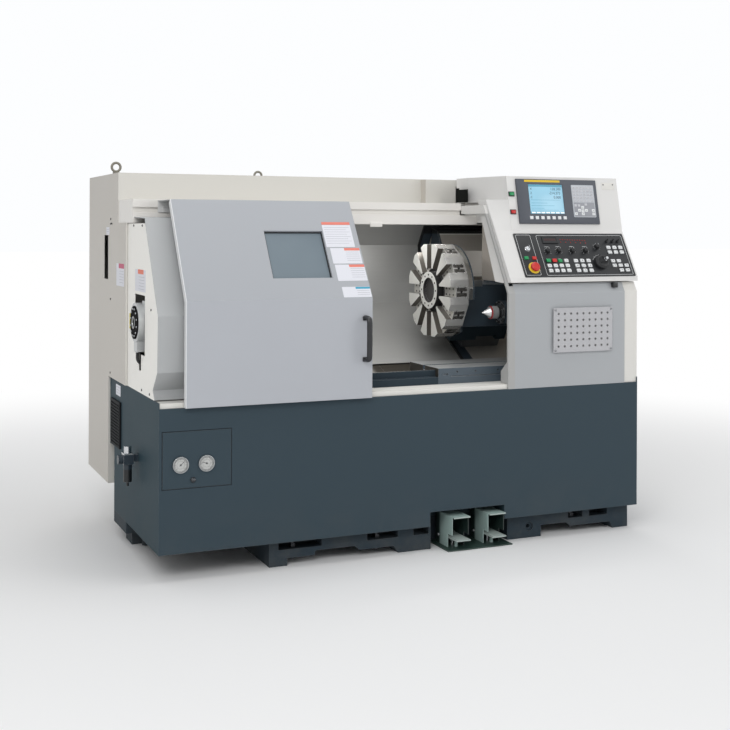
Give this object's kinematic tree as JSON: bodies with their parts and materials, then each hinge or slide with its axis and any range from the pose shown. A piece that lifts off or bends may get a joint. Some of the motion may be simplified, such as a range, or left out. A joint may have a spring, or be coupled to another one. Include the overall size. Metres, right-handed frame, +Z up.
{
  "type": "cnc turning lathe",
  "caption": "Slant-bed turning lathe with sheet-metal guarding, sliding door, tool turret, tailstock, operator console and foot pedals.",
  "frame": {"origin": "bottom centre of the whole machine, on the floor", "axes": "+X to the right along the spindle, +Y to the back, +Z up; the front door faces -Y"},
  "size_m": [2.26, 1.4694, 1.6315],
  "materials": {
    "slate_paint": "satin, fine texture",
    "grey_paint": "satin",
    "cream_paint": "satin",
    "stainless": "brushed",
    "machined_steel": "ground",
    "bright_steel": "polished",
    "dark_steel": "blackened",
    "cast_paint": "painted",
    "rubber": "matte",
    "black_plastic": "matte",
    "red_plastic": "gloss",
    "green_plastic": "gloss",
    "window_glass": "smoked",
    "white_face": "gloss"
  },
  "bodies": {
    "frame": {"bed_casting": "slate_paint", "levelling_bolts": "dark_steel", "base_cabinet": "slate_paint", "coolant_tank": "slate_paint", "chip_trough": "stainless", "tailstock_way": "machined_steel", "sill": "cream_paint", "left_front_cover": "grey_paint", "left_side_cover": "cream_paint", "door_track": "cream_paint", "rear_cabinet": "cream_paint", "right_front_cover": "grey_paint", "right_side_cover": "cream_paint", "headstock_bulkhead": "stainless", "console_housing": "cream_paint", "key_panel": "black_plastic", "display_unit": "black_plastic", "perforated_plate": "cream_paint", "vent_grille": "black_plastic", "filter_regulator": "dark_steel", "eyebolts": "bright_steel", "headstock": "cast_paint", "cylinder_housing": "machined_steel", "spindle_motor": "cast_paint", "drive_belt": "rubber", "left_way_cover": "stainless", "right_way_cover": "stainless", "pedal_guards": "dark_steel"},
    "front_door": {"front_door": "grey_paint", "door_window": "window_glass", "door_handle": "black_plastic"},
    "cabinet_door": {"cabinet_door": "cream_paint"},
    "gauge_hatch": {"gauge_hatch": "slate_paint", "pressure_gauges": "white_face"},
    "spindle": {"spindle": "machined_steel", "spindle_pulley": "dark_steel", "rotary_cylinder": "dark_steel", "chuck_body": "machined_steel"},
    "jaw_1": {"chuck_jaw_1": "dark_steel"},
    "jaw_2": {"chuck_jaw_2": "dark_steel"},
    "jaw_3": {"chuck_jaw_3": "dark_steel"},
    "motor_pulley": {"motor_pulley": "dark_steel"},
    "carriage": {"saddle": "cast_paint", "carriage_guard": "stainless", "guard_seal": "rubber", "sliding_way_cover": "stainless"},
    "ball_screw": {"ball_screw": "machined_steel"},
    "middle_cover": {"right_middle_cover": "stainless"},
    "cross_slide": {"cross_slide": "cast_paint", "turret_body": "cast_paint"},
    "turret_disc": {"turret_disc": "machined_steel"},
    "tailstock": {"tailstock": "cast_paint"},
    "quill": {"quill": "bright_steel"},
    "live_centre": {"live_centre": "bright_steel"},
    "pedal_1": {"foot_pedal_1": "bright_steel"},
    "pedal_2": {"foot_pedal_2": "bright_steel"},
    "e_stop": {"e_stop": "red_plastic"},
    "handwheel": {"handwheel": "black_plastic"},
    "cycle_start": {"cycle_start": "green_plastic"},
    "feed_hold": {"feed_hold": "red_plastic"}
  },
  "joints": [
    {"name": "door_slide", "type": "slide", "parent": "frame", "child": "front_door", "axis": [1, 0, 0], "range_m": [0, 0.645]},
    {"name": "cabinet_door_hinge", "type": "hinge", "parent": "frame", "child": "cabinet_door", "pos_m": [0.19, 0.72075, 0.85], "axis": [0, 0, 1], "range_deg": [0, 110]},
    {"name": "gauge_hatch_hinge", "type": "hinge", "parent": "frame", "child": "gauge_hatch", "pos_m": [-0.901, -0.65875, 0.5695], "axis": [-1, 0, 0], "range_deg": [0, 100]},
    {"name": "spindle_turn", "type": "hinge", "parent": "frame", "child": "spindle", "pos_m": [-0.75, -0.33375, 0.962], "axis": [1, 0, 0], "continuous": true},
    {"name": "motor_turn", "type": "hinge", "parent": "frame", "child": "motor_pulley", "pos_m": [-0.9, -0.25875, 0.33], "axis": [1, 0, 0], "continuous": true},
    {"name": "jaw_1_slide", "type": "slide", "parent": "spindle", "child": "jaw_1", "axis": [0, 0, 1], "range_m": [-0.004, 0.004]},
    {"name": "jaw_2_slide", "type": "slide", "parent": "spindle", "child": "jaw_2", "axis": [0, -0.866, -0.5], "range_m": [-0.004, 0.004]},
    {"name": "jaw_3_slide", "type": "slide", "parent": "spindle", "child": "jaw_3", "axis": [0, 0.866, -0.5], "range_m": [-0.004, 0.004]},
    {"name": "carriage_slide", "type": "slide", "parent": "frame", "child": "carriage", "axis": [1, 0, 0], "range_m": [-0.55, 0]},
    {"name": "ball_screw_turn", "type": "hinge", "parent": "frame", "child": "ball_screw", "pos_m": [0.23, 0.20859, 0.76696], "axis": [1, 0, 0], "continuous": true},
    {"name": "middle_cover_slide", "type": "slide", "parent": "frame", "child": "middle_cover", "axis": [1, 0, 0], "range_m": [-0.275, 0]},
    {"name": "cross_slide_travel", "type": "slide", "parent": "carriage", "child": "cross_slide", "axis": [0, 0.866, 0.5], "range_m": [-0.02, 0.14]},
    {"name": "turret_index", "type": "hinge", "parent": "cross_slide", "child": "turret_disc", "pos_m": [0.37, -0.16531, 1.05925], "axis": [1, 0, 0], "continuous": true},
    {"name": "tailstock_slide", "type": "slide", "parent": "frame", "child": "tailstock", "axis": [1, 0, 0], "range_m": [-0.06, 0.025]},
    {"name": "quill_slide", "type": "slide", "parent": "tailstock", "child": "quill", "axis": [1, 0, 0], "range_m": [-0.08, 0]},
    {"name": "live_centre_turn", "type": "hinge", "parent": "quill", "child": "live_centre", "pos_m": [0.6, -0.33375, 0.962], "axis": [1, 0, 0], "continuous": true},
    {"name": "pedal_1_press", "type": "hinge", "parent": "frame", "child": "pedal_1", "pos_m": [0.229, -0.54675, 0.04], "axis": [1, 0, 0], "range_deg": [0, 10], "stiffness_Nm_per_rad": 5, "springref_deg": -14.32},
    {"name": "pedal_2_press", "type": "hinge", "parent": "frame", "child": "pedal_2", "pos_m": [0.399, -0.54675, 0.04], "axis": [1, 0, 0], "range_deg": [0, 10], "stiffness_Nm_per_rad": 5, "springref_deg": -14.32},
    {"name": "e_stop_press", "type": "slide", "parent": "frame", "child": "e_stop", "axis": [0, 0.8646, -0.5025], "range_m": [0, 0.005]},
    {"name": "handwheel_turn", "type": "hinge", "parent": "frame", "child": "handwheel", "pos_m": [0.954, -0.6284, 1.19417], "axis": [0, -0.8646, 0.5025], "continuous": true},
    {"name": "cycle_start_press", "type": "slide", "parent": "frame", "child": "cycle_start", "axis": [0, 0.8646, -0.5025], "range_m": [0, 0.0025], "stiffness_N_per_m": 300, "springref_m": -0.002},
    {"name": "feed_hold_press", "type": "slide", "parent": "frame", "child": "feed_hold", "axis": [0, 0.8646, -0.5025], "range_m": [0, 0.0025], "stiffness_N_per_m": 300, "springref_m": -0.002}
  ],
  "couplings": [
    {"joint": "motor_turn", "follows": "spindle_turn", "ratio": 1.5},
    {"joint": "jaw_2_slide", "follows": "jaw_1_slide", "ratio": 1},
    {"joint": "jaw_3_slide", "follows": "jaw_1_slide", "ratio": 1},
    {"joint": "ball_screw_turn", "follows": "carriage_slide", "rad_per_m": 628.32},
    {"joint": "middle_cover_slide", "follows": "carriage_slide", "ratio": 0.5}
  ]
}
